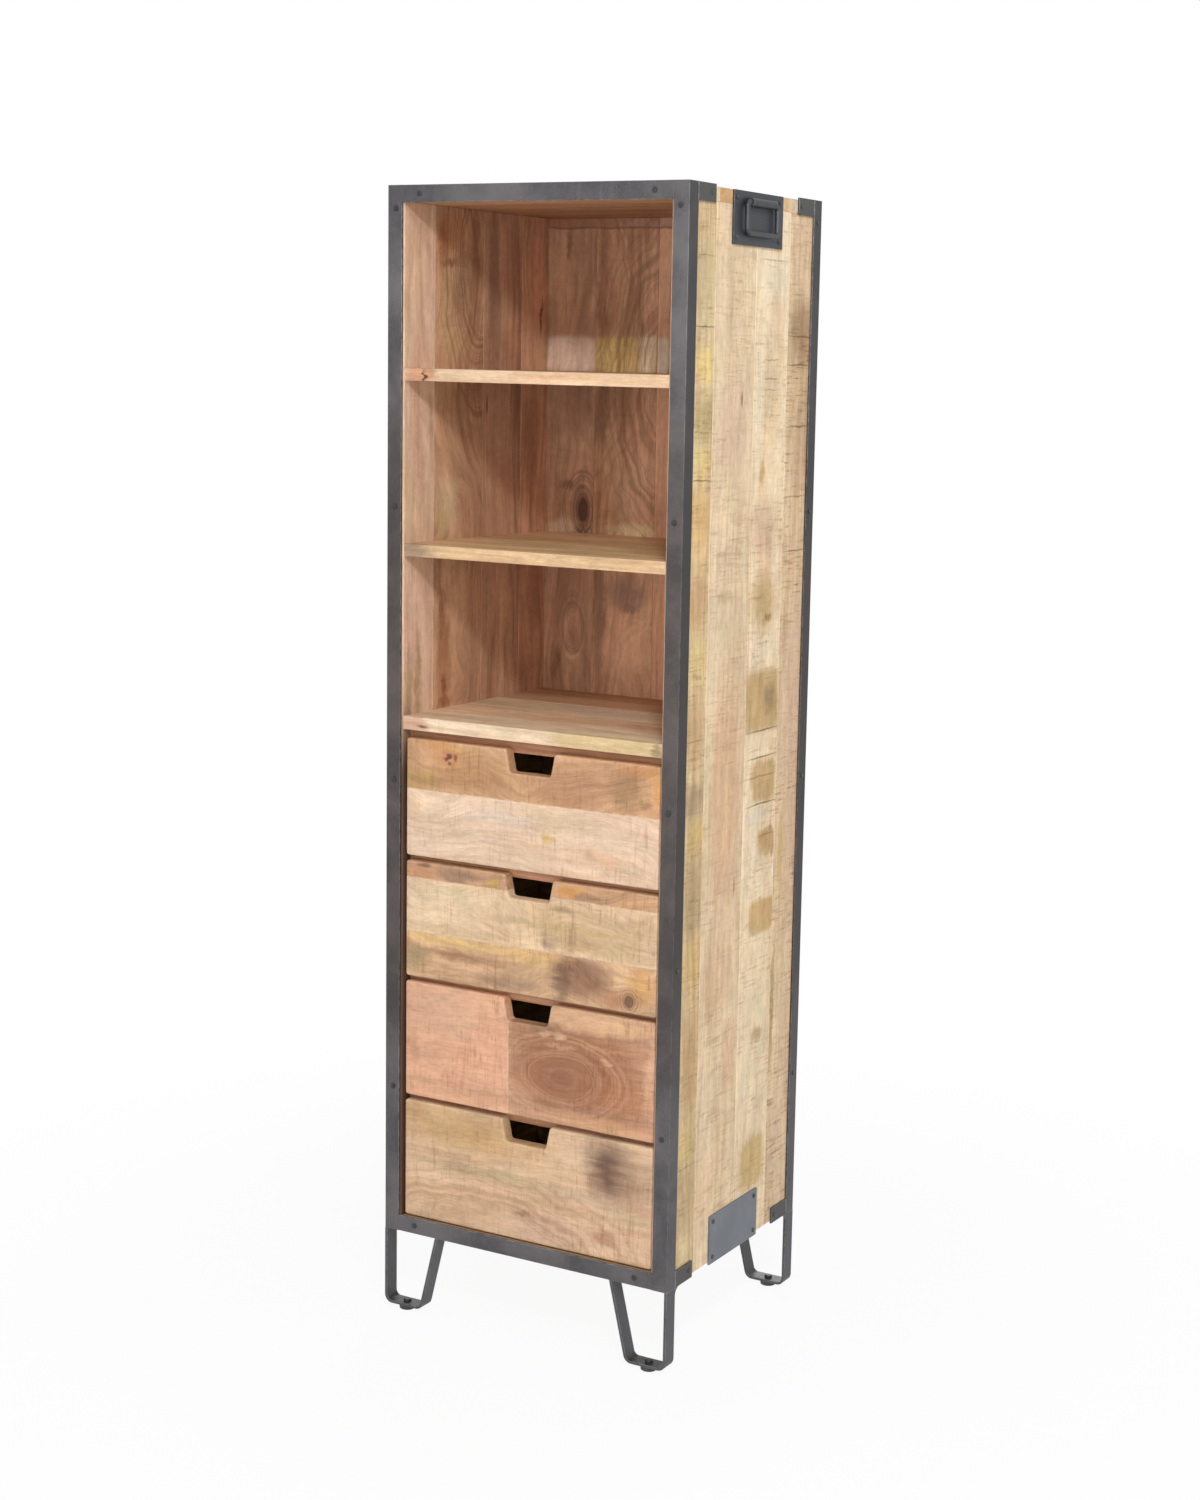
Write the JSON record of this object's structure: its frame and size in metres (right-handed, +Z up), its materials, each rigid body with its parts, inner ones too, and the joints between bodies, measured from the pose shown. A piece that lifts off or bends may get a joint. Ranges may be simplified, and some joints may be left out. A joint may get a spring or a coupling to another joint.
{
  "type": "bookcase with bottom drawers",
  "caption": "Tall narrow bookcase of glued wood boards in angle iron rings, with open bays above drawers, chest handles on its sides and bent strap legs.",
  "frame": {"origin": "on the floor, under the middle of the bookcase", "axes": "+Z up, +X to the right seen from the front, the drawers open towards -Y"},
  "size_m": [0.524, 0.408, 1.7],
  "materials": {
    "painted_iron": "satin, worn edges",
    "plate_steel": "satin",
    "handle_steel": "semi-gloss",
    "dark_screws": "blackened",
    "glide_plastic": "matte",
    "side_boards": "rough sawn, clear lacquer",
    "back_boards": "smooth, clear lacquer",
    "shelf_boards": "smooth, clear lacquer",
    "drawer_front_boards": "rough sawn, clear lacquer",
    "box_boards": "sanded",
    "plywood": "sanded"
  },
  "bodies": {
    "case": {"back_panel": "back_boards", "bottom_board": "side_boards", "drawer_deck": "shelf_boards", "drawer_rail_1": "box_boards", "drawer_rail_2": "box_boards", "drawer_rail_3": "box_boards", "drawer_rail_4": "box_boards", "foot_glides": "glide_plastic", "frame_screws": "dark_screws", "front_bottom_rail": "painted_iron", "front_left_leg": "painted_iron", "front_left_upright": "painted_iron", "front_right_leg": "painted_iron", "front_right_upright": "painted_iron", "front_top_rail": "painted_iron", "glide_bolts": "dark_screws", "left_corner_tabs": "painted_iron", "left_handle_knuckle": "handle_steel", "left_handle_plate": "plate_steel", "left_lower_plate": "plate_steel", "left_runners": "box_boards", "left_side_panel": "side_boards", "middle_shelf": "shelf_boards", "rear_bottom_rail": "painted_iron", "rear_left_leg": "painted_iron", "rear_left_upright": "painted_iron", "rear_right_leg": "painted_iron", "rear_right_upright": "painted_iron", "rear_top_rail": "painted_iron", "right_corner_tabs": "painted_iron", "right_handle_knuckle": "handle_steel", "right_handle_plate": "plate_steel", "right_lower_plate": "plate_steel", "right_runners": "box_boards", "right_side_panel": "side_boards", "side_screws": "dark_screws", "top_board": "side_boards", "upper_shelf": "shelf_boards"},
    "drawer_1": {"drawer_1_back": "box_boards", "drawer_1_bottom": "plywood", "drawer_1_front": "drawer_front_boards", "drawer_1_left_side": "box_boards", "drawer_1_right_side": "box_boards"},
    "drawer_2": {"drawer_2_back": "box_boards", "drawer_2_bottom": "plywood", "drawer_2_front": "drawer_front_boards", "drawer_2_left_side": "box_boards", "drawer_2_right_side": "box_boards"},
    "drawer_3": {"drawer_3_back": "box_boards", "drawer_3_bottom": "plywood", "drawer_3_front": "drawer_front_boards", "drawer_3_left_side": "box_boards", "drawer_3_right_side": "box_boards"},
    "drawer_4": {"drawer_4_back": "box_boards", "drawer_4_bottom": "plywood", "drawer_4_front": "drawer_front_boards", "drawer_4_left_side": "box_boards", "drawer_4_right_side": "box_boards"},
    "bail_left": {"left_handle_bail": "handle_steel"},
    "bail_right": {"right_handle_bail": "handle_steel"}
  },
  "joints": [
    {"name": "drawer_1_slide", "type": "slide", "parent": "case", "child": "drawer_1", "axis": [0, -1, 0], "range_m": [0, 0.28]},
    {"name": "drawer_2_slide", "type": "slide", "parent": "case", "child": "drawer_2", "axis": [0, -1, 0], "range_m": [0, 0.28]},
    {"name": "drawer_3_slide", "type": "slide", "parent": "case", "child": "drawer_3", "axis": [0, -1, 0], "range_m": [0, 0.28]},
    {"name": "drawer_4_slide", "type": "slide", "parent": "case", "child": "drawer_4", "axis": [0, -1, 0], "range_m": [0, 0.28]},
    {"name": "bail_left_swing", "type": "hinge", "parent": "case", "child": "bail_left", "pos_m": [-0.256, 0, 1.682], "axis": [0, 1, 0], "range_deg": [0, 180]},
    {"name": "bail_right_swing", "type": "hinge", "parent": "case", "child": "bail_right", "pos_m": [0.256, 0, 1.682], "axis": [0, -1, 0], "range_deg": [0, 180]}
  ]
}
